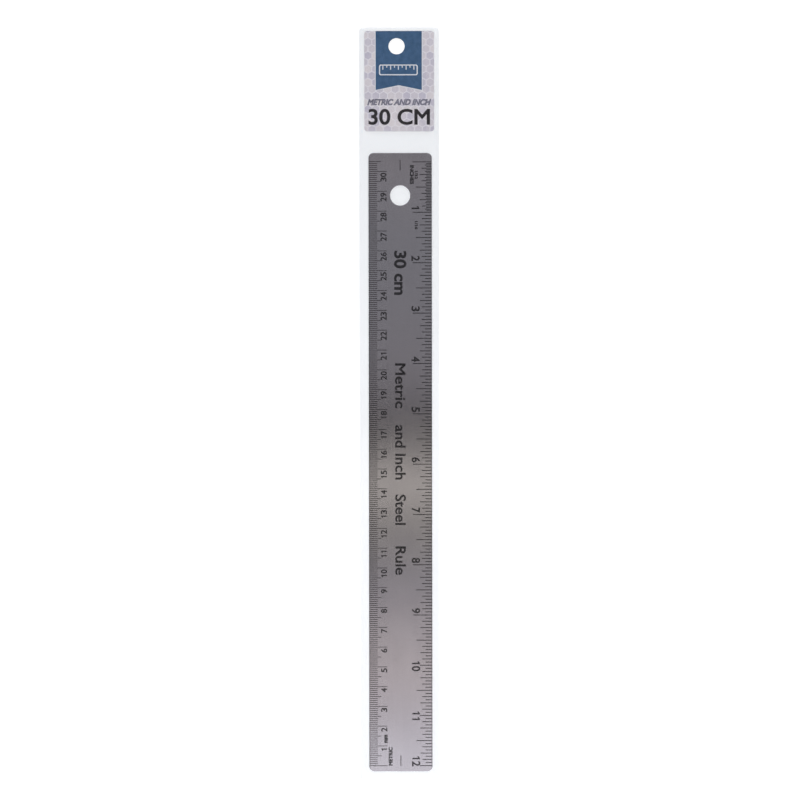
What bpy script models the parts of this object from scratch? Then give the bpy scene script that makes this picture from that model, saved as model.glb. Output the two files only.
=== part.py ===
"""A 30 cm / 12 in steel ruler in a clear hang-sell sleeve with a header card.

The pack lies on its back. +Z points out of its face and +Y towards the header, where
the sleeve is open. The origin is under the middle of the sleeve. Units are metres.
"""

import math

import bmesh
import bpy

MM = 0.001

# Sleeve: two films welded down both sides and across the foot
SLEEVE_WIDTH = 40.4 * MM
SLEEVE_LENGTH = 380.0 * MM
SLEEVE_CORNER = 2.2 * MM
FILM = 0.2 * MM
SEAM = 1.0 * MM
SEAM_GAP = 0.05 * MM

# Ruler, with its hole at the header end
BLADE_WIDTH = 32.0 * MM
BLADE_LENGTH = 312.3 * MM
BLADE_THICKNESS = 0.7 * MM
BLADE_CORNER = 2.6 * MM
BLADE_HOLE = 10.0 * MM
BLADE_HOLE_INSET = 21.5 * MM
BLADE_OFFSET_X = 0.5 * MM
BLADE_FROM_MOUTH = 63.2 * MM

# Header card, in front of the ruler's way out
CARD_WIDTH = 35.2 * MM
CARD_LENGTH = 50.5 * MM
CARD_THICKNESS = 0.35 * MM
CARD_CORNER = 1.5 * MM
CARD_OFFSET_X = 0.1 * MM
CARD_FROM_MOUTH = 2.0 * MM

# One hang hole punched through both films and the card
HANG_HOLE = 8.1 * MM
HANG_HOLE_X = -1.2 * MM
HANG_HOLE_FROM_MOUTH = 9.7 * MM

# The stack, from the back up
CLEARANCE = 0.2 * MM
BLADE_Z = FILM + CLEARANCE
CARD_Z = BLADE_Z + BLADE_THICKNESS + CLEARANCE
FILM_OVER_BLADE = BLADE_Z + BLADE_THICKNESS + CLEARANCE
FILM_OVER_CARD = CARD_Z + CARD_THICKNESS + CLEARANCE
FILM_AT_SEAM = FILM + SEAM_GAP

# Places along the pack
MOUTH_Y = SLEEVE_LENGTH / 2
FOOT_Y = -SLEEVE_LENGTH / 2
BLADE_TOP_Y = MOUTH_Y - BLADE_FROM_MOUTH
BLADE_FOOT_Y = BLADE_TOP_Y - BLADE_LENGTH
CARD_TOP_Y = MOUTH_Y - CARD_FROM_MOUTH
CARD_FOOT_Y = CARD_TOP_Y - CARD_LENGTH
HANG_HOLE_Y = MOUTH_Y - HANG_HOLE_FROM_MOUTH

# Where the front film slopes down to its seams, and where it steps up to the card
SEAM_X = SLEEVE_WIDTH / 2 - SEAM
SHOULDER_X = CARD_WIDTH / 2 + CARD_OFFSET_X + 0.05 * MM
SEAM_Y = FOOT_Y + SEAM
SHOULDER_Y = BLADE_FOOT_Y - CLEARANCE
STEP_START_Y = BLADE_TOP_Y + 0.5 * MM
STEP_END_Y = CARD_FOOT_Y - 0.5 * MM

CORNER_SEGMENTS = 10
HOLE_SEGMENTS = 64
SLOPE_STEPS = 8
OVERCUT = 5.0 * MM


def clear_scene():
    for item in list(bpy.data.objects):
        bpy.data.objects.remove(item)


def material(name, colour, roughness, metallic=0.0, alpha=1.0):
    made = bpy.data.materials.new(name)
    made.use_nodes = True
    shader = made.node_tree.nodes["Principled BSDF"]
    shader.inputs["Base Color"].default_value = (*colour, 1.0)
    shader.inputs["Roughness"].default_value = roughness
    shader.inputs["Metallic"].default_value = metallic
    shader.inputs["Alpha"].default_value = alpha
    return made


def add_object(name, bm):
    mesh = bpy.data.meshes.new(name)
    bm.to_mesh(mesh)
    bm.free()
    made = bpy.data.objects.new(name, mesh)
    bpy.context.collection.objects.link(made)
    return made


def rounded_rectangle(width, length, corner):
    """Corners of the outline, anticlockwise from the right-hand side."""
    points = []
    for quarter, (side_x, side_y) in enumerate(((1, 1), (-1, 1), (-1, -1), (1, -1))):
        centre_x = side_x * (width / 2 - corner)
        centre_y = side_y * (length / 2 - corner)
        for step in range(CORNER_SEGMENTS + 1):
            angle = math.pi / 2 * (quarter + step / CORNER_SEGMENTS)
            points.append((centre_x + corner * math.cos(angle), centre_y + corner * math.sin(angle)))
    return points


def plate(name, width, length, corner, thickness):
    """A flat rounded plate that stands on its own z = 0."""
    bm = bmesh.new()
    outline = rounded_rectangle(width, length, corner)
    face = bm.faces.new([bm.verts.new((x, y, 0)) for x, y in outline])
    raised = bmesh.ops.extrude_face_region(bm, geom=[face])["geom"]
    top = [item for item in raised if isinstance(item, bmesh.types.BMVert)]
    bmesh.ops.translate(bm, verts=top, vec=(0, 0, thickness))
    bmesh.ops.recalc_face_normals(bm, faces=bm.faces)
    return add_object(name, bm)


def make_cutter(made):
    made.hide_render = True
    made.display_type = "WIRE"
    return made


def hole_cutter(name, diameter, x, y):
    bm = bmesh.new()
    bmesh.ops.create_cone(
        bm, cap_ends=True, segments=HOLE_SEGMENTS, radius1=diameter / 2, radius2=diameter / 2,
        depth=2 * OVERCUT)
    made = make_cutter(add_object(name, bm))
    made.location = (x, y, 0)
    return made


def boolean(target, cutter, operation):
    modifier = target.modifiers.new(cutter.name, "BOOLEAN")
    modifier.object = cutter
    modifier.operation = operation


def smoothstep(value):
    t = min(max(value, 0.0), 1.0)
    return t * t * (3 - 2 * t)


def front_film_height(x, y):
    """Underside of the front film: level over the ruler and the card, down to the seams."""
    over_card = smoothstep((y - STEP_START_Y) / (STEP_END_Y - STEP_START_Y))
    level = FILM_OVER_BLADE + (FILM_OVER_CARD - FILM_OVER_BLADE) * over_card
    across = smoothstep((SEAM_X - abs(x)) / (SEAM_X - SHOULDER_X))
    along = smoothstep((y - SEAM_Y) / (SHOULDER_Y - SEAM_Y))
    return FILM_AT_SEAM + (level - FILM_AT_SEAM) * across * along


def spread(start, end, steps):
    return [start + (end - start) * step / steps for step in range(steps + 1)]


def front_film_grid():
    """An open sheet a little larger than the sleeve, with rows where the film slopes."""
    right = spread(SHOULDER_X, SEAM_X, SLOPE_STEPS) + [SLEEVE_WIDTH / 2 + SEAM]
    columns = [-x for x in reversed(right)] + right
    rows = [FOOT_Y - SEAM]
    rows += spread(SEAM_Y, SHOULDER_Y, SLOPE_STEPS)
    rows += spread(STEP_START_Y, STEP_END_Y, SLOPE_STEPS)
    rows += [MOUTH_Y + SEAM]
    bm = bmesh.new()
    grid = [[bm.verts.new((x, y, front_film_height(x, y))) for x in columns] for y in rows]
    for lower, upper in zip(grid, grid[1:]):
        for left in range(len(columns) - 1):
            bm.faces.new((lower[left], lower[left + 1], upper[left + 1], upper[left]))
    return bm


def sleeve_back_film(hang_hole):
    made = plate("sleeve_back_film", SLEEVE_WIDTH, SLEEVE_LENGTH, SLEEVE_CORNER, FILM)
    boolean(made, hang_hole, "DIFFERENCE")
    return made


def sleeve_front_film(hang_hole):
    made = add_object("sleeve_front_film", front_film_grid())
    thicken = made.modifiers.new("film", "SOLIDIFY")
    thicken.thickness = FILM
    thicken.offset = 1.0
    thicken.use_even_offset = True
    outline = make_cutter(
        plate("front_film_outline", SLEEVE_WIDTH, SLEEVE_LENGTH, SLEEVE_CORNER, OVERCUT))
    boolean(made, outline, "INTERSECT")
    boolean(made, hang_hole, "DIFFERENCE")
    return made


def ruler_blade():
    made = plate("ruler_blade", BLADE_WIDTH, BLADE_LENGTH, BLADE_CORNER, BLADE_THICKNESS)
    made.location = (BLADE_OFFSET_X, (BLADE_TOP_Y + BLADE_FOOT_Y) / 2, BLADE_Z)
    hole = hole_cutter("blade_hole", BLADE_HOLE, BLADE_OFFSET_X, BLADE_TOP_Y - BLADE_HOLE_INSET)
    boolean(made, hole, "DIFFERENCE")
    return made


def header_card(hang_hole):
    made = plate("header_card", CARD_WIDTH, CARD_LENGTH, CARD_CORNER, CARD_THICKNESS)
    made.location = (CARD_OFFSET_X, (CARD_TOP_Y + CARD_FOOT_Y) / 2, CARD_Z)
    boolean(made, hang_hole, "DIFFERENCE")
    return made


def build():
    clear_scene()
    pack = bpy.data.objects.new("ruler_pack", None)
    bpy.context.collection.objects.link(pack)
    clear_film = material("clear_film", (0.93, 0.94, 0.96), 0.12, alpha=0.25)
    satin_steel = material("satin_steel", (0.45, 0.44, 0.45), 0.35, metallic=1.0)
    printed_card = material("printed_card", (0.53, 0.50, 0.54), 0.55)
    hang_hole = hole_cutter("hang_hole", HANG_HOLE, HANG_HOLE_X, HANG_HOLE_Y)
    pieces = (
        (sleeve_back_film(hang_hole), clear_film),
        (sleeve_front_film(hang_hole), clear_film),
        (ruler_blade(), satin_steel),
        (header_card(hang_hole), printed_card),
    )
    for piece, surface in pieces:
        piece.data.materials.append(surface)
        piece.parent = pack


build()
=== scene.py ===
import math

import bmesh
import bpy
import numpy as np
from mathutils import Matrix, Vector, noise


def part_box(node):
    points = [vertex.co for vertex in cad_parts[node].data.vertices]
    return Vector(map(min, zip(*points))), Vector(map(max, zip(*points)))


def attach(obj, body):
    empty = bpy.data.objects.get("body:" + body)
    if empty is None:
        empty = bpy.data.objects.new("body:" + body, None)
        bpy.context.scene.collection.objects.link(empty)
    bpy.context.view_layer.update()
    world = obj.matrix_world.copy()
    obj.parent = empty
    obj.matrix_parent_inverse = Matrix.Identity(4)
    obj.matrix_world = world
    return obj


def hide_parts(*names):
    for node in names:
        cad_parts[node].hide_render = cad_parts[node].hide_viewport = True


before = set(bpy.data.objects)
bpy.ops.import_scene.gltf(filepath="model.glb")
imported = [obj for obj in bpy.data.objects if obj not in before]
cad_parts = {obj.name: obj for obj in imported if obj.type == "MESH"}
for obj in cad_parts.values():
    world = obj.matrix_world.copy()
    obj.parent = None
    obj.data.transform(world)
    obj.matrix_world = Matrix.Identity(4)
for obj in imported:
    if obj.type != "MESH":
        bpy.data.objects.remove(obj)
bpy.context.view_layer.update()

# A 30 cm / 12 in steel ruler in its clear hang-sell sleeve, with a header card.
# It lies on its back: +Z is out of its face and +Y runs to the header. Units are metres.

MM = 0.001
INCH = 25.4 * MM

# Boxes of the CAD nodes
BLADE_LOW, BLADE_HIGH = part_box("ruler_blade")
CARD_LOW, CARD_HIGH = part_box("header_card")
BACK_LOW, BACK_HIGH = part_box("sleeve_back_film")

# Blade
BLADE_CORNER = 2.6 * MM
BLADE_RIM = 0.2 * MM
BLADE_HOLE = 10.0 * MM
BLADE_HOLE_INSET = 21.5 * MM
BLADE_LEFT, BLADE_RIGHT = BLADE_LOW.x, BLADE_HIGH.x
BLADE_CENTRE_X = (BLADE_LEFT + BLADE_RIGHT) / 2
BLADE_TOP = BLADE_HIGH.y
BLADE_FACE = BLADE_HIGH.z

# Painted shade: the steel's colour darkens from the first distance to the second, measured in from
# its long edges
PAINTED_EDGE_SHADE_START = 0.75 * MM
PAINTED_EDGE_SHADE_END = 0.35 * MM

# Scales: inches run down from the hole end, centimetres up from the other end
INCH_ZERO_Y = BLADE_TOP - 4.6 * MM
CM_ZERO_Y = INCH_ZERO_Y - 12 * INCH
INCH_LINE = 0.40 * MM
CM_LINE = 0.32 * MM
EDGE_MARGIN = 0.12 * MM
INK_Z = (BLADE_FACE - 0.02 * MM, BLADE_FACE + 0.012 * MM)
DOWN_THE_BLADE = math.radians(-90)
UP_THE_BLADE = math.radians(90)

# Lettering: the built-in font's cap height at size 1, then digits measured in cap heights
CAP_HEIGHT_OF_FONT = 0.682
DIGIT_PITCH = 0.73
DIGIT_WIDTH = 0.68
DIGIT_BOLDNESS = 0.036
ONE = ((0.29, 0.0), (0.48, 0.0), (0.48, 1.0), (0.35, 1.0), (0.10, 0.84), (0.10, 0.66), (0.29, 0.78))
ONE_CENTRE = (0.33, 0.5)

# Header card
CARD_CORNER = 1.5 * MM
CARD_RIM = 0.03 * MM
CARD_CENTRE_X = (CARD_LOW.x + CARD_HIGH.x) / 2
CARD_TOP = CARD_HIGH.y
CARD_FACE = CARD_HIGH.z
HEXAGON = 3.9 * MM
PRINT_LAYER = 0.008 * MM

# Hang hole through the films and the card
HANG_HOLE = 8.1 * MM
HANG_HOLE_X = -1.2 * MM
HANG_HOLE_Y = BACK_HIGH.y - 9.7 * MM

# Sleeve
SLEEVE_CORNER = 2.2 * MM
FILM = 0.2 * MM
FILM_LIFT = 0.12 * MM
FILM_AT_SEAM = BACK_HIGH.z + 0.05 * MM
SEAM = 1.0 * MM
SEAM_X = BACK_HIGH.x - SEAM
KNURL_PITCH = 0.9 * MM

# Front film's grid, before it is trimmed, and how it is draped
FILM_COLUMNS = 86
FILM_ROWS = 256
TRIM_MARGIN = 1.0 * MM
SLACK_LOAD = 14.0
OVER_RELAXATION = 1.7
DRAPE_PASSES = 900


# ---------------------------------------------------------------- materials

def new_material(name):
    made = bpy.data.materials.new(name)
    made.use_nodes = True
    return made, made.node_tree, made.node_tree.nodes["Principled BSDF"]


def add_node(tree, kind, inputs=None, **settings):
    """A node with its settings; a socket given as an input is linked, a value is set."""
    node = tree.nodes.new(kind)
    for key, value in settings.items():
        setattr(node, key, value)
    for socket, value in (inputs or {}).items():
        if isinstance(value, bpy.types.NodeSocket):
            tree.links.new(value, node.inputs[socket])
        else:
            node.inputs[socket].default_value = value
    return node


def maths(tree, operation, first, second=0.0):
    return add_node(tree, "ShaderNodeMath", {0: first, 1: second}, operation=operation).outputs[0]


def vector_maths(tree, operation, first, second=(0, 0, 0), third=(0, 0, 0)):
    return add_node(
        tree, "ShaderNodeVectorMath", {0: first, 1: second, 2: third},
        operation=operation).outputs["Vector"]


def part_of(tree, vector, axis):
    return add_node(tree, "ShaderNodeSeparateXYZ", {0: vector}).outputs[axis]


def object_place(tree):
    return add_node(tree, "ShaderNodeTexCoord").outputs["Object"]


def stretched_noise(tree, scale, detail=2.0):
    """Noise in object coordinates, with its own frequency (per metre) along each axis."""
    spread = add_node(
        tree, "ShaderNodeMapping", {"Vector": object_place(tree), "Scale": scale}).outputs[0]
    return add_node(
        tree, "ShaderNodeTexNoise",
        {"Vector": spread, "Scale": 1.0, "Detail": detail}).outputs["Fac"]


def ramp(tree, value, stops):
    node = add_node(tree, "ShaderNodeValToRGB", {0: value})
    elements = node.color_ramp.elements
    while len(elements) < len(stops):
        elements.new(0.5)
    for element, (position, colour) in zip(elements, stops):
        element.position = position
        element.color = (*colour, 1.0)
    return node.outputs["Color"]


def remap(tree, value, low, high, start=0.0, end=1.0, curve="LINEAR"):
    """Takes start to low and end to high, and stays level beyond them."""
    return add_node(
        tree, "ShaderNodeMapRange",
        {"Value": value, "From Min": start, "From Max": end, "To Min": low, "To Max": high},
        interpolation_type=curve).outputs[0]


def mix_colours(tree, factor, first, second):
    return add_node(
        tree, "ShaderNodeMix", {"Factor": factor, "A": first, "B": second},
        data_type="RGBA").outputs["Result"]


def bump(tree, height, strength, distance):
    return add_node(
        tree, "ShaderNodeBump",
        {"Height": height, "Strength": strength, "Distance": distance}).outputs[0]


def satin_steel():
    """Stainless strip brushed lengthwise, with painted shade darkening its colour along its two long
    edges.

    Reflections spread across it and stay crisp along it.
    """
    made, tree, shader = new_material("satin_steel")
    streaks = stretched_noise(tree, (3200, 40, 3200), detail=3.0)
    grain = stretched_noise(tree, (9000, 160, 9000), detail=2.0)
    clouds = stretched_noise(tree, (90, 30, 90), detail=3.0)
    tone = maths(tree, "MULTIPLY", maths(tree, "ADD", streaks, clouds), 0.5)
    colour = ramp(tree, tone, (
        (0.30, (0.545, 0.535, 0.550)),
        (0.70, (0.605, 0.595, 0.608)),
    ))
    # Painted shade: the base colour falls to 0.75 of itself in a strip along each long edge.
    x = part_of(tree, object_place(tree), "X")
    from_middle = maths(tree, "ABSOLUTE", maths(tree, "SUBTRACT", x, BLADE_CENTRE_X))
    half_width = BLADE_RIGHT - BLADE_CENTRE_X
    edge = remap(
        tree, from_middle, 1.0, 0.75, half_width - PAINTED_EDGE_SHADE_START, half_width - PAINTED_EDGE_SHADE_END)
    tree.links.new(vector_maths(tree, "MULTIPLY", colour, edge), shader.inputs["Base Color"])
    shader.inputs["Metallic"].default_value = 1.0
    tree.links.new(remap(tree, streaks, 0.12, 0.15), shader.inputs["Roughness"])
    shader.inputs["Anisotropic"].default_value = 0.9
    across = add_node(tree, "ShaderNodeTangent", direction_type="UV_MAP", uv_map="UVMap")
    tree.links.new(across.outputs[0], shader.inputs["Tangent"])
    tree.links.new(bump(tree, grain, 0.15, 0.003 * MM), shader.inputs["Normal"])
    return made


def etched_ink():
    """Black etch fill, slightly worn and mottled."""
    made, tree, shader = new_material("etched_ink")
    wear = stretched_noise(tree, (3000, 3000, 3000), detail=3.0)
    colour = ramp(tree, wear, (
        (0.35, (0.004, 0.004, 0.005)),
        (0.75, (0.014, 0.013, 0.016)),
    ))
    tree.links.new(colour, shader.inputs["Base Color"])
    shader.inputs["Specular IOR Level"].default_value = 0.15
    tree.links.new(remap(tree, wear, 0.45, 0.7), shader.inputs["Roughness"])
    return made


def honeycomb(tree, cell):
    """Distance from the nearest cell edge, in cell widths, and a vector that numbers the cell.

    A honeycomb is two offset rectangular grids, and a point belongs to the nearer centre.
    """
    flat = vector_maths(tree, "MULTIPLY", object_place(tree), (1 / cell, 1 / cell, 0))
    half = (0.5, math.sqrt(3) / 2, 0.0)
    opposite = tuple(-length for length in half)
    reaches, centres = [], []
    for shift in ((0.0, 0.0, 0.0), half):
        moved = vector_maths(tree, "ADD", flat, shift)
        offset = vector_maths(tree, "WRAP", moved, half, opposite)
        centres.append(vector_maths(tree, "SUBTRACT", flat, offset))
        folded = vector_maths(tree, "ABSOLUTE", offset)
        slanted = add_node(
            tree, "ShaderNodeVectorMath", {0: folded, 1: half}, operation="DOT_PRODUCT")
        upright = part_of(tree, folded, "X")
        reaches.append(maths(tree, "MAXIMUM", slanted.outputs["Value"], upright))
    edge = maths(tree, "SUBTRACT", 0.5, maths(tree, "MINIMUM", *reaches))
    second = maths(tree, "LESS_THAN", reaches[1], reaches[0])
    number = add_node(
        tree, "ShaderNodeMix", {"Factor": second, "A": centres[0], "B": centres[1]},
        data_type="VECTOR").outputs["Result"]
    return edge, number


def printed_board():
    """Grey-lilac print of hexagons, each a shade of its own, between fine pale lines."""
    made, tree, shader = new_material("printed_board")
    edge, number = honeycomb(tree, HEXAGON)
    mottle = stretched_noise(tree, (300, 300, 300), detail=4.0)
    rounded = vector_maths(tree, "SNAP", number, (0.25, 0.25, 0.25))
    shade = add_node(tree, "ShaderNodeTexWhiteNoise", {"Vector": rounded}).outputs["Value"]
    tone = maths(
        tree, "ADD", maths(tree, "MULTIPLY", shade, 0.55), maths(tree, "MULTIPLY", mottle, 0.45))
    ground = ramp(tree, tone, (
        (0.20, (0.624, 0.588, 0.676)),
        (0.80, (0.832, 0.775, 0.780)),
    ))
    line = remap(tree, edge, 0.7, 0.0, 0.03, 0.08)
    tree.links.new(
        mix_colours(tree, line, ground, (0.95, 0.92, 0.95, 1)), shader.inputs["Base Color"])
    tree.links.new(remap(tree, mottle, 0.35, 0.5), shader.inputs["Roughness"])
    shader.inputs["Specular IOR Level"].default_value = 0.25
    tree.links.new(bump(tree, mottle, 0.15, 0.01 * MM), shader.inputs["Normal"])
    return made


def raw_board():
    """The card's bare back and cut edge: pale grey fibres in layers."""
    made, tree, shader = new_material("raw_board")
    fibres = stretched_noise(tree, (1500, 1500, 22000), detail=4.0)
    colour = ramp(tree, fibres, ((0.3, (0.55, 0.53, 0.50)), (0.7, (0.80, 0.78, 0.75))))
    tree.links.new(colour, shader.inputs["Base Color"])
    shader.inputs["Roughness"].default_value = 0.9
    tree.links.new(bump(tree, fibres, 0.4, 0.02 * MM), shader.inputs["Normal"])
    return made


def card_print(name, dark, light):
    """Solid ink on board: the tone shifts a little, as printed solids do."""
    made, tree, shader = new_material(name)
    mottle = stretched_noise(tree, (420, 420, 420), detail=5.0)
    tree.links.new(ramp(tree, mottle, ((0.3, dark), (0.7, light))), shader.inputs["Base Color"])
    shader.inputs["Roughness"].default_value = 0.42
    shader.inputs["Specular IOR Level"].default_value = 0.25
    tree.links.new(bump(tree, mottle, 0.1, 0.01 * MM), shader.inputs["Normal"])
    return made


def clear_film():
    """Soft clear film with a knurled weld at its sides. It is see-through face on, and at a
    slant, where the way through it is longer, greyer and glossy."""
    made, tree, shader = new_material("clear_film")
    tree.nodes.remove(shader)
    facing = add_node(tree, "ShaderNodeLayerWeight", {"Blend": 0.5}).outputs["Facing"]
    steep = maths(tree, "POWER", facing, 5.0)
    gloss_share = maths(tree, "ADD", maths(tree, "MULTIPLY", steep, 0.65), 0.030)
    ripple = stretched_noise(tree, (60, 25, 60), detail=2.0)
    place = object_place(tree)
    in_seam = maths(tree, "GREATER_THAN", maths(tree, "ABSOLUTE", part_of(tree, place, "X")), SEAM_X)
    turns = maths(tree, "MULTIPLY", part_of(tree, place, "Y"), 2 * math.pi / KNURL_PITCH)
    knurl = maths(tree, "MULTIPLY", maths(tree, "SINE", turns), in_seam)
    height = maths(tree, "ADD", ripple, maths(tree, "MULTIPLY", knurl, 0.05))
    normal = bump(tree, height, 0.5, 0.25 * MM)
    tint = mix_colours(tree, facing, (0.984, 0.988, 0.992, 1), (0.930, 0.940, 0.952, 1))
    clear = add_node(tree, "ShaderNodeBsdfTransparent", {"Color": tint})
    gloss = add_node(
        tree, "ShaderNodeBsdfGlossy",
        {"Color": (1, 1, 1, 1), "Roughness": 0.1, "Normal": normal})
    mixed = add_node(
        tree, "ShaderNodeMixShader",
        {0: gloss_share, 1: clear.outputs[0], 2: gloss.outputs[0]})
    tree.links.new(mixed.outputs[0], tree.nodes["Material Output"].inputs["Surface"])
    return made


# ---------------------------------------------------------------- mesh tools

def link_mesh(name, bm):
    mesh = bpy.data.meshes.new(name)
    bm.to_mesh(mesh)
    bm.free()
    made = bpy.data.objects.new(name, mesh)
    bpy.context.collection.objects.link(made)
    return made


def add_object(name, bm, materials, body, replaces=None):
    """Links the mesh as a piece of the object, riding on a body."""
    made = link_mesh(name, bm)
    for material in materials:
        made.data.materials.append(material)
    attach(made, body)
    if replaces:
        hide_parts(replaces)
    return made


def rounded_rectangle(width, length, corner, centre, steps=12):
    """Anticlockwise points of the outline."""
    points = []
    for quarter, (side_x, side_y) in enumerate(((1, 1), (-1, 1), (-1, -1), (1, -1))):
        x = centre[0] + side_x * (width / 2 - corner)
        y = centre[1] + side_y * (length / 2 - corner)
        for step in range(steps + 1):
            angle = math.pi / 2 * (quarter + step / steps)
            points.append((x + corner * math.cos(angle), y + corner * math.sin(angle)))
    return points


def circle(radius, centre, steps=96):
    turn = 2 * math.pi / steps
    return [
        (centre[0] + radius * math.cos(turn * i), centre[1] + radius * math.sin(turn * i))
        for i in range(steps)]


def add_ring(bm, points, z):
    return [bm.verts.new((x, y, z)) for x, y in points]


def bridge(bm, lower, upper, material_index=0, smooth=True):
    """Walls between two rings with the same number of points."""
    count = len(lower)
    for i in range(count):
        j = (i + 1) % count
        face = bm.faces.new((lower[i], lower[j], upper[j], upper[i]))
        face.smooth = smooth
        face.material_index = material_index


def cap(bm, rings):
    """A flat face bounded by the first ring, with the others as holes in it."""
    pairs = [(ring[i], ring[(i + 1) % len(ring)]) for ring in rings for i in range(len(ring))]
    edges = [bm.edges.get(pair) or bm.edges.new(pair) for pair in pairs]
    filled = bmesh.ops.triangle_fill(bm, use_beauty=True, use_dissolve=False, edges=edges)
    return [item for item in filled["geom"] if isinstance(item, bmesh.types.BMFace)]


def rim_profile(low_z, high_z, rim, steps=3):
    """(inset, height) pairs up a wall whose two edges are rounded by rim."""
    arc = [math.pi / 2 * step / steps for step in range(steps + 1)]
    lower = [(rim * (1 - math.sin(a)), low_z + rim * (1 - math.cos(a))) for a in arc]
    upper = [(inset, low_z + high_z - z) for inset, z in reversed(lower)]
    return lower + upper


def plate(low, high, corner, rim, hole, hole_centre, plain_index=0):
    """A plate that fills a box, with rounded corners, soft rims and one round hole.

    Its walls and back take the material numbered plain_index, and its face takes the first.
    """
    width, length = high.x - low.x, high.y - low.y
    centre = ((low.x + high.x) / 2, (low.y + high.y) / 2)

    def outside(inset):
        return rounded_rectangle(width - 2 * inset, length - 2 * inset, corner - inset, centre)

    def inside(inset):
        return circle(hole / 2 + inset, hole_centre)

    bm = bmesh.new()
    walls = []
    for outline in (outside, inside):
        rings = [add_ring(bm, outline(inset), z) for inset, z in rim_profile(low.z, high.z, rim)]
        for lower, upper in zip(rings, rings[1:]):
            bridge(bm, lower, upper, plain_index)
        walls.append(rings)
    for face in cap(bm, [rings[0] for rings in walls]):
        face.material_index = plain_index
    cap(bm, [rings[-1] for rings in walls])
    bmesh.ops.recalc_face_normals(bm, faces=bm.faces)
    return bm


def add_planar_uv(bm, size):
    layer = bm.loops.layers.uv.new("UVMap")
    for face in bm.faces:
        for loop in face.loops:
            loop[layer].uv = (loop.vert.co.x / size, loop.vert.co.y / size)


def add_walls(bm, points, z_range):
    """Straight walls on an outline, and the rings at their foot and top."""
    lower = add_ring(bm, points, z_range[0])
    upper = add_ring(bm, points, z_range[1])
    bridge(bm, lower, upper, smooth=False)
    return lower, upper


def add_prism(bm, loops, z_range):
    """A straight-sided solid on a flat outline; further loops are holes."""
    walls = [add_walls(bm, points, z_range) for points in loops]
    cap(bm, [lower for lower, upper in walls])
    cap(bm, [upper for lower, upper in walls])


def add_bar(bm, x_range, y_range, z_range):
    (x0, x1), (y0, y1) = x_range, y_range
    lower, upper = add_walls(bm, ((x0, y0), (x1, y0), (x1, y1), (x0, y1)), z_range)
    bm.faces.new(upper)
    bm.faces.new(lower[::-1])


# ---------------------------------------------------------------- lettering

def outward(edge):
    """Unit normal, in the plane, of an edge with a face on one side only."""
    loop = edge.link_loops[0]
    along = (loop.link_loop_next.vert.co - loop.vert.co).normalized()
    return Vector((along.y, -along.x, 0))


def embolden(bm, amount):
    """Moves a flat outline out by amount, without letting sharp corners run away."""
    moves = []
    for vertex in bm.verts:
        normals = [outward(edge) for edge in vertex.link_edges if len(edge.link_faces) == 1]
        if len(normals) == 2:
            spread = max(1 + normals[0].dot(normals[1]), 0.5)
            moves.append((vertex, (normals[0] + normals[1]) * (amount / spread)))
    for vertex, move in moves:
        vertex.co += move


def glyph_mesh(text, bold, slant):
    """Flat lettering in the built-in font, scaled to a cap height of 1 and centred on it."""
    curve = bpy.data.curves.new(text, "FONT")
    curve.body = text
    curve.shear = slant
    curve.resolution_u = 6
    source = bpy.data.objects.new(text, curve)
    bpy.context.collection.objects.link(source)
    evaluated = source.evaluated_get(bpy.context.evaluated_depsgraph_get())
    flat = bpy.data.meshes.new_from_object(evaluated)
    bpy.data.objects.remove(source)
    bpy.data.curves.remove(curve)
    bm = bmesh.new()
    bm.from_mesh(flat)
    bpy.data.meshes.remove(flat)
    bmesh.ops.remove_doubles(bm, verts=bm.verts, dist=1e-5)
    bmesh.ops.scale(bm, verts=bm.verts, vec=(1 / CAP_HEIGHT_OF_FONT,) * 3)
    embolden(bm, bold)
    across = [vertex.co.x for vertex in bm.verts]
    bmesh.ops.translate(bm, verts=bm.verts, vec=(-(min(across) + max(across)) / 2, -0.5, 0))
    return bm, max(across) - min(across)


def writing_place(middle, z, turn, width_scale, height_scale):
    return (
        Matrix.Translation((middle[0], middle[1], z))
        @ Matrix.Rotation(turn, 4, "Z")
        @ Matrix.Diagonal((width_scale, height_scale, 1, 1)))


def add_lettering(bm, text, cap_height, middle, z_range, turn=0.0, length=None, bold=0.0, slant=0.0):
    """Lettering centred on middle. length, along the line of writing, squeezes or spreads it."""
    glyphs, width = glyph_mesh(text, bold, slant)
    stretch = length / (width * cap_height) if length else 1.0
    place = writing_place(middle, z_range[0], turn, cap_height * stretch, cap_height)
    bmesh.ops.transform(glyphs, matrix=place, verts=glyphs.verts)
    raised = bmesh.ops.extrude_face_region(glyphs, geom=glyphs.faces[:], use_keep_orig=True)["geom"]
    upper = [item for item in raised if isinstance(item, bmesh.types.BMVert)]
    bmesh.ops.translate(glyphs, verts=upper, vec=(0, 0, z_range[1] - z_range[0]))
    bmesh.ops.recalc_face_normals(glyphs, faces=glyphs.faces)
    joined = bpy.data.meshes.new(text)
    glyphs.to_mesh(joined)
    glyphs.free()
    bm.from_mesh(joined)
    bpy.data.meshes.remove(joined)


def add_number(bm, number, cap_height, middle, z_range, turn, squeeze=1.0):
    """Digits on an even pitch, with a flagged 1."""
    digits = str(number)
    digit_width = cap_height * squeeze
    along = (math.cos(turn), math.sin(turn))
    for index, digit in enumerate(digits):
        shift = (index - (len(digits) - 1) / 2) * DIGIT_PITCH * digit_width
        centre = (middle[0] + along[0] * shift, middle[1] + along[1] * shift)
        if digit == "1":
            place = writing_place(centre, 0, turn, digit_width, cap_height)
            corners = [place @ Vector((x - ONE_CENTRE[0], y - ONE_CENTRE[1], 0)) for x, y in ONE]
            add_prism(bm, [[(corner.x, corner.y) for corner in corners]], z_range)
        else:
            add_lettering(
                bm, digit, cap_height, centre, z_range, turn,
                length=DIGIT_WIDTH * digit_width, bold=DIGIT_BOLDNESS)


# ---------------------------------------------------------------- blade

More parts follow.
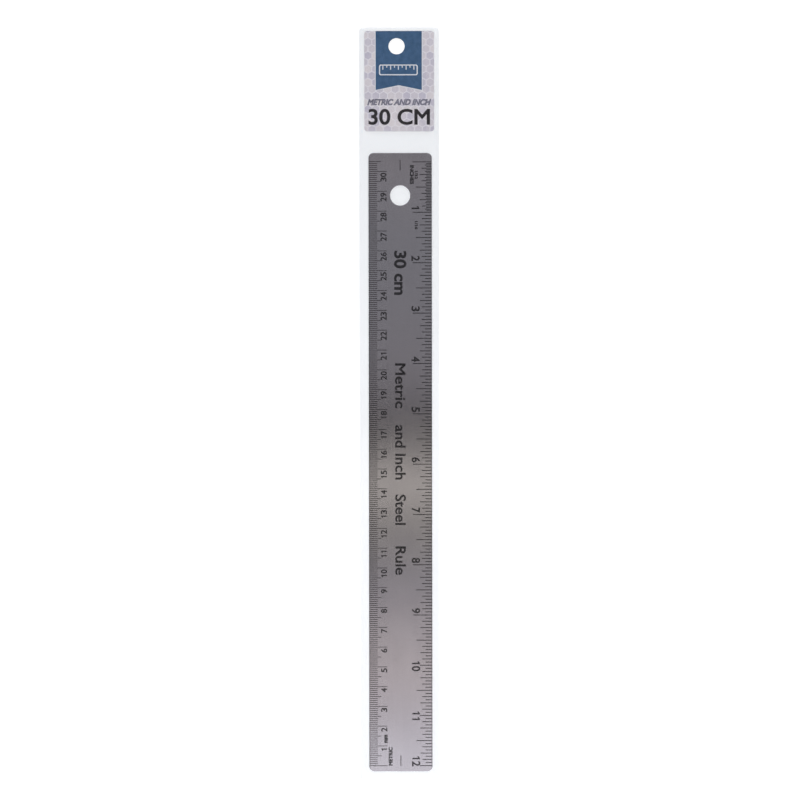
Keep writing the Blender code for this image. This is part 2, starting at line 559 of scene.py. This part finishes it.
def make_blade(steel):
    hole_centre = (BLADE_CENTRE_X, BLADE_TOP - BLADE_HOLE_INSET)
    bm = plate(BLADE_LOW, BLADE_HIGH, BLADE_CORNER, BLADE_RIM, BLADE_HOLE, hole_centre)
    add_planar_uv(bm, BLADE_HIGH.y - BLADE_LOW.y)
    return add_object("blade", bm, [steel], "ruler", "ruler_blade")


def add_tick(bm, y, length, line, from_right):
    edge = BLADE_RIGHT - EDGE_MARGIN if from_right else BLADE_LEFT + EDGE_MARGIN
    end = BLADE_RIGHT - length if from_right else BLADE_LEFT + length
    add_bar(bm, sorted((edge, end)), (y - line / 2, y + line / 2), INK_Z)


def inch_tick_length(sixteenth):
    """Whole inches from 10 on have a short line, which leaves room for two digits."""
    if sixteenth in (10 * 16, 11 * 16, 12 * 16):
        return 6.4 * MM
    for step, length in ((16, 9.75), (8, 8.05), (4, 6.1), (2, 5.15)):
        if sixteenth % step == 0:
            return length * MM
    return 3.5 * MM


def inch_number_y(inches):
    """Numbers stand just above their line, but 10 and 11 stand across it."""
    above = {10: -0.3, 11: -0.3, 12: 2.4}.get(inches, 2.2)
    return INCH_ZERO_Y - inches * INCH + above * MM


def make_inch_scale(ink):
    bm = bmesh.new()
    for sixteenth in range(12 * 16 + 1):
        y = INCH_ZERO_Y - sixteenth * INCH / 16
        add_tick(bm, y, inch_tick_length(sixteenth), INCH_LINE, True)
    for thirty_second in range(1, 32, 2):
        y = INCH_ZERO_Y - thirty_second * INCH / 32
        add_tick(bm, y, 2.9 * MM, INCH_LINE, True)
    cap_height = 3.9 * MM
    number_x = BLADE_RIGHT - 8.3 * MM
    for inches in range(1, 13):
        middle = (number_x, inch_number_y(inches))
        add_number(bm, inches, cap_height, middle, INK_Z, DOWN_THE_BLADE)
    # Millimetres: cap height, middle's place from the right edge and the top, length; boldness
    labels = (
        ("INCHES", 1.7, 10.1, 11.05, 9.6, 0.085),
        ("1/32", 1.35, 7.9, 11.2, 4.1, 0.075),
        ("1/16", 1.35, 7.9, 36.5, 4.1, 0.075),
    )
    for text, height, from_edge, from_top, length, bold in labels:
        middle = (BLADE_RIGHT - from_edge * MM, BLADE_TOP - from_top * MM)
        add_lettering(bm, text, height * MM, middle, INK_Z, DOWN_THE_BLADE, length * MM, bold)
    return add_object("inch_scale", bm, [ink], "ruler")


def cm_tick_length(millimetre):
    for step, length in ((10, 9.2), (5, 6.2)):
        if millimetre % step == 0:
            return length * MM
    return 4.35 * MM


def make_cm_scale(ink):
    bm = bmesh.new()
    last_tick = 305
    for millimetre in range(last_tick + 1):
        y = CM_ZERO_Y + millimetre * MM
        add_tick(bm, y, cm_tick_length(millimetre), CM_LINE, False)
    cap_height = 2.85 * MM
    squeeze = 1.08
    number_x = BLADE_LEFT + 7.6 * MM
    gap_to_line = 0.7 * MM
    for centimetre in range(1, 31):
        widths = DIGIT_WIDTH + DIGIT_PITCH * (len(str(centimetre)) - 1)
        below = gap_to_line + widths * cap_height * squeeze / 2
        middle = (number_x, CM_ZERO_Y + centimetre * 10 * MM - below)
        add_number(bm, centimetre, cap_height, middle, INK_Z, UP_THE_BLADE, squeeze)
    # Millimetres: cap height, middle's place from the left edge and the top, length; boldness
    labels = (
        ("mm", 2.0, 8.15, 295.8, 4.2, 0.095),
        ("METRIC", 1.7, 10.8, 304.7, 9.3, 0.085),
    )
    for text, height, from_edge, from_top, length, bold in labels:
        middle = (BLADE_LEFT + from_edge * MM, BLADE_TOP - from_top * MM)
        add_lettering(bm, text, height * MM, middle, INK_Z, UP_THE_BLADE, length * MM, bold)
    return add_object("centimetre_scale", bm, [ink], "ruler")


def make_blade_lettering(ink):
    """Generic wording down the middle, and a centre mark at each end."""
    bm = bmesh.new()
    # Millimetres: cap height, middle's place from the top, length; boldness
    words = (
        ("30 cm", 5.6, 60.5, 22.3, 0.045),
        ("Metric", 5.0, 117.4, 22.6, 0.028),
        ("and Inch", 5.0, 151.0, 27.5, 0.028),
        ("Steel", 5.0, 180.0, 15.4, 0.028),
        ("Rule", 5.0, 205.7, 14.4, 0.028),
    )
    for text, height, from_top, length, bold in words:
        middle = (BLADE_CENTRE_X, BLADE_TOP - from_top * MM)
        add_lettering(bm, text, height * MM, middle, INK_Z, DOWN_THE_BLADE, length * MM, bold)
    half_line, half_length = INCH_LINE / 2, 2.6 * MM
    for from_top in (6.2 * MM, 306.8 * MM):
        y = BLADE_TOP - from_top
        add_bar(
            bm, (BLADE_CENTRE_X - half_line, BLADE_CENTRE_X + half_line),
            (y - half_length, y + half_length), INK_Z)
    return add_object("blade_lettering", bm, [ink], "ruler")


# ---------------------------------------------------------------- header card

def make_card(print_ground, plain_board):
    bm = plate(
        CARD_LOW, CARD_HIGH, CARD_CORNER, CARD_RIM, HANG_HOLE, (HANG_HOLE_X, HANG_HOLE_Y),
        plain_index=1)
    return add_object(
        "card_board", bm, [print_ground, plain_board], "header", "header_card")


def print_z(layers):
    """Ink that stands so many layers proud of the card, and is rooted one layer into it."""
    return CARD_FACE - PRINT_LAYER, CARD_FACE + PRINT_LAYER * layers


def ribbon_outline(border):
    """A swallow-tailed ribbon hanging from the card's top edge, widened by border."""
    left = CARD_CENTRE_X - 11.85 * MM - border
    right = CARD_CENTRE_X + 11.4 * MM + border
    top = CARD_TOP - CARD_RIM
    tip = CARD_TOP - 29.7 * MM - border
    notch = CARD_TOP - 27.3 * MM - border
    return [(left, tip), ((left + right) / 2, notch), (right, tip), (right, top), (left, top)]


def make_ribbon(name, material, border, z_range):
    bm = bmesh.new()
    clearance = 0.02 * MM
    hole = circle(HANG_HOLE / 2 + clearance, (HANG_HOLE_X, HANG_HOLE_Y))
    add_prism(bm, [ribbon_outline(border), hole], z_range)
    bmesh.ops.recalc_face_normals(bm, faces=bm.faces)
    return add_object(name, bm, [material], "header")


def make_pictogram(material, z_range):
    """A small plain ruler: a frame with ticks hanging from its upper edge."""
    bm = bmesh.new()
    centre = (CARD_CENTRE_X - 0.4 * MM, CARD_TOP - 19.6 * MM)
    width, height, line = 19.5 * MM, 5.4 * MM, 0.55 * MM
    half_tick_line = line / 2.4
    outer = rounded_rectangle(width, height, 1.0 * MM, centre)
    inner = rounded_rectangle(width - 2 * line, height - 2 * line, 0.5 * MM, centre)
    add_prism(bm, [outer, inner], z_range)
    ticks = 9
    top = centre[1] + height / 2 - line / 2
    for index in range(1, ticks + 1):
        x = centre[0] + width * (index / (ticks + 1) - 0.5)
        length = 2.3 * MM if index % 2 else 1.3 * MM
        add_bar(bm, (x - half_tick_line, x + half_tick_line), (top - length, top), z_range)
    bmesh.ops.recalc_face_normals(bm, faces=bm.faces)
    return add_object("card_pictogram", bm, [material], "header")


def make_card_line(name, text, material, cap_height, from_top, length, bold, slant=0.0):
    bm = bmesh.new()
    add_lettering(
        bm, text, cap_height, (CARD_CENTRE_X, CARD_TOP - from_top), print_z(1),
        length=length, bold=bold, slant=slant)
    return add_object(name, bm, [material], "header")


# ---------------------------------------------------------------- sleeve

def near_plate(x, y, low, high, reach_x, reach_y):
    """Points over a plate or within reach of it, so that no face of the film cuts its edge."""
    return (
        (x >= low.x - reach_x) & (x <= high.x + reach_x)
        & (y >= low.y - reach_y) & (y <= high.y + reach_y))


def puff(x, y):
    """How loosely the film lies, from below 0 (drawn down) to above 0 (puffed up)."""
    return noise.noise((x * 38, y * 16, 3.1)) + 0.5 * noise.noise((x * 90, y * 55, 7.7))


def draped_height(xs, ys):
    """Underside of the front film: a skin stretched from the seams over the blade and card.

    It also clears the way that each of them slides, out of the mouth.
    Each pass pulls every point towards its neighbours' mean, lifted a little where the film
    puffs up, and keeps it off what lies below. The two halves of a chequerboard take turns.
    """
    x, y = np.meshgrid(xs, ys)
    step_x, step_y = xs[1] - xs[0], ys[1] - ys[0]
    support = np.full(x.shape, FILM_AT_SEAM)
    for low, high in ((BLADE_LOW, BLADE_HIGH), (CARD_LOW, CARD_HIGH)):
        way_out = Vector((high.x, BACK_HIGH.y, high.z))
        support[near_plate(x, y, low, way_out, step_x, step_y)] = high.z + FILM_LIFT
    seam = (abs(x) >= SEAM_X) | (y <= BACK_LOW.y + SEAM)
    support[seam] = FILM_AT_SEAM
    load = SLACK_LOAD * np.array([[puff(float(a), float(b)) for a in xs] for b in ys])
    weight_x, weight_y = 1 / step_x**2, 1 / step_y**2
    height = support.copy()
    chequer = (np.add.outer(np.arange(len(ys)), np.arange(len(xs))) % 2).astype(bool)
    for _ in range(DRAPE_PASSES):
        for half in (chequer, ~chequer):
            padded = np.pad(height, 1, mode="edge")
            pulled = (
                weight_x * (padded[1:-1, :-2] + padded[1:-1, 2:])
                + weight_y * (padded[:-2, 1:-1] + padded[2:, 1:-1]) + load
            ) / (2 * (weight_x + weight_y))
            moved = np.maximum(height + OVER_RELAXATION * (pulled - height), support)
            height[half] = moved[half]
            height[seam] = support[seam]
    return height


def make_front_film(material):
    xs = np.linspace(BACK_LOW.x - TRIM_MARGIN, BACK_HIGH.x + TRIM_MARGIN, FILM_COLUMNS)
    ys = np.linspace(BACK_LOW.y - TRIM_MARGIN, BACK_HIGH.y + TRIM_MARGIN, FILM_ROWS)
    heights = draped_height(xs, ys)
    bm = bmesh.new()
    grid = [
        [bm.verts.new((float(x), float(y), float(heights[row, column])))
         for column, x in enumerate(xs)]
        for row, y in enumerate(ys)]
    for lower, upper in zip(grid, grid[1:]):
        for i in range(len(xs) - 1):
            bm.faces.new((lower[i], lower[i + 1], upper[i + 1], upper[i]))
    made = add_object("front_film", bm, [material], "sleeve", "sleeve_front_film")
    thicken = made.modifiers.new("film", "SOLIDIFY")
    thicken.thickness = FILM
    thicken.offset = 1.0
    thicken.use_even_offset = True
    trim(made)
    return made


def trim(film):
    """Cuts the film to the sleeve's outline and punches the hang hole, then applies the cuts."""
    size = BACK_HIGH - BACK_LOW
    outline = rounded_rectangle(size.x, size.y, SLEEVE_CORNER, (0, 0))
    hole = circle(HANG_HOLE / 2, (HANG_HOLE_X, HANG_HOLE_Y))
    through = (-5.0 * MM, 5.0 * MM)
    cutters = []
    for name, points, operation in (
            ("outline", outline, "INTERSECT"), ("hang_hole", hole, "DIFFERENCE")):
        bm = bmesh.new()
        add_prism(bm, [points], through)
        bmesh.ops.recalc_face_normals(bm, faces=bm.faces)
        cutter = link_mesh(name, bm)
        modifier = film.modifiers.new(name, "BOOLEAN")
        modifier.object = cutter
        modifier.operation = operation
        cutters.append(cutter)
    evaluated = film.evaluated_get(bpy.context.evaluated_depsgraph_get())
    cut = bpy.data.meshes.new_from_object(evaluated)
    film.modifiers.clear()
    film.data = cut
    for cutter in cutters:
        bpy.data.objects.remove(cutter)
    cut.shade_smooth()
    cut.set_sharp_from_angle(angle=math.radians(35))


# ---------------------------------------------------------------- stage

def make_floor():
    """A white sweep that also glows, so that the object throws next to no shadow on it."""
    made, tree, shader = new_material("floor")
    shader.inputs["Base Color"].default_value = (0.62, 0.62, 0.62, 1)
    shader.inputs["Roughness"].default_value = 0.9
    shader.inputs["Specular IOR Level"].default_value = 0.0
    shader.inputs["Emission Color"].default_value = (1, 1, 1, 1)
    along = part_of(tree, object_place(tree), "Y")
    foot_glow, header_glow = 0.72, 0.60
    tree.links.new(
        remap(tree, along, foot_glow, header_glow, -0.05, 0.15), shader.inputs["Emission Strength"])
    bm = bmesh.new()
    bmesh.ops.create_grid(bm, x_segments=1, y_segments=1, size=12.0)
    floor = link_mesh("floor", bm)
    floor.location.z = BACK_LOW.z - 0.02 * MM
    floor.data.materials.append(made)


def make_world():
    """The studio by its direction along Y: bright walls beyond both ends, and between them a
    ceiling, dim over the header and bright over the foot, dark where the camera hangs."""
    world = bpy.data.worlds.new("studio")
    bpy.context.scene.world = world
    world.use_nodes = True
    tree = world.node_tree
    direction = add_node(tree, "ShaderNodeTexCoord").outputs["Generated"]
    horizon = (0.45, 0.45, 0.46)
    wall = (1.20, 1.20, 1.22)
    tones = (
        (-0.97, horizon),
        (-0.85, wall),
        (-0.50, wall),
        (-0.255, (0.92, 0.90, 0.94)),
        (-0.199, (1.05, 1.00, 1.07)),
        (-0.174, (0.70, 0.65, 0.69)),
        (-0.154, (0.76, 0.67, 0.66)),
        (-0.104, (0.34, 0.32, 0.35)),
        (-0.084, (0.37, 0.34, 0.33)),
        (-0.071, (0.26, 0.24, 0.22)),
        (-0.058, (0.84, 0.77, 0.71)),
        (-0.048, (0.81, 0.74, 0.68)),
        (-0.037, (0.26, 0.24, 0.23)),
        (-0.026, (0.11, 0.10, 0.10)),
        (-0.012, (0.12, 0.11, 0.12)),
        (-0.001, (0.30, 0.28, 0.30)),
        (0.081, (0.275, 0.270, 0.295)),
        (0.121, (0.36, 0.33, 0.35)),
        (0.141, (0.14, 0.14, 0.15)),
        (0.35, (0.40, 0.40, 0.42)),
        (0.50, wall),
        (0.85, wall),
        (0.97, horizon),
    )
    place = remap(tree, part_of(tree, direction, "Y"), 0.0, 1.0, -1.0, 1.0)
    overhead = ramp(tree, place, [((along + 1) / 2, tone) for along, tone in tones])
    across = maths(tree, "ABSOLUTE", part_of(tree, direction, "X"))
    sideways = remap(tree, across, 0.0, 1.0, 0.35, 0.65, "SMOOTHSTEP")
    studio = mix_colours(tree, sideways, overhead, (0.52, 0.52, 0.535, 1))
    seen = add_node(tree, "ShaderNodeLightPath").outputs["Is Camera Ray"]
    colour = mix_colours(tree, seen, studio, (0.96, 0.96, 0.97, 1))
    tree.links.new(colour, tree.nodes["Background"].inputs["Color"])


def make_softbox():
    """A long soft lamp beyond the header. Steel and film mirror only the studio, not the lamp."""
    light = bpy.data.lights.new("softbox", "AREA")
    light.shape = "RECTANGLE"
    light.size, light.size_y = 2.4, 0.4
    light.energy = 4.2
    softbox = bpy.data.objects.new("softbox", light)
    bpy.context.collection.objects.link(softbox)
    softbox.location = (0.0, 0.95, 1.0)
    softbox.rotation_euler = (-softbox.location).to_track_quat("-Z", "Y").to_euler()
    softbox.visible_glossy = False


def make_camera():
    """Overhead, leaning a hair towards the header, framing the sleeve with a narrow margin."""
    data = bpy.data.cameras.new("camera")
    data.lens = 85
    view_span = 403.6 * MM
    distance = view_span * data.lens / data.sensor_width
    aim = Vector((0.3 * MM, 2.2 * MM, BLADE_FACE))
    lean = math.radians(0.5)
    roll = math.radians(-0.08)
    camera = bpy.data.objects.new("camera", data)
    bpy.context.collection.objects.link(camera)
    camera.location = aim + distance * Vector((0, math.sin(lean), math.cos(lean)))
    camera.rotation_euler = (-lean, 0, roll)
    bpy.context.scene.camera = camera


# ---------------------------------------------------------------- build

def build_ruler():
    ink = etched_ink()
    make_blade(satin_steel())
    make_inch_scale(ink)
    make_cm_scale(ink)
    make_blade_lettering(ink)


def build_card():
    make_card(printed_board(), raw_board())
    white = card_print("white_ink", (0.86, 0.86, 0.88), (0.93, 0.93, 0.95))
    navy = card_print("navy_ink", (0.038, 0.105, 0.208), (0.061, 0.139, 0.268))
    black = card_print("black_ink", (0.008, 0.007, 0.008), (0.016, 0.013, 0.015))
    slate = card_print("slate_ink", (0.180, 0.175, 0.225), (0.235, 0.228, 0.285))
    make_ribbon("card_ribbon_border", white, 0.35 * MM, print_z(1))
    make_ribbon("card_ribbon", navy, 0.0, print_z(2))
    make_pictogram(white, print_z(3))
    make_card_line(
        "card_small_line", "METRIC AND INCH", slate, cap_height=2.7 * MM, from_top=35.8 * MM,
        length=32.3 * MM, bold=0.085, slant=0.3)
    make_card_line(
        "card_large_line", "30 CM", black, cap_height=7.4 * MM, from_top=43.2 * MM,
        length=31.0 * MM, bold=0.035)


def build_sleeve():
    film = clear_film()
    make_front_film(film)
    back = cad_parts["sleeve_back_film"]
    back.data.materials.clear()
    back.data.materials.append(film)


build_ruler()
build_card()
build_sleeve()
make_floor()
make_world()
make_softbox()
make_camera()
bpy.context.scene.view_settings.view_transform = "Standard"
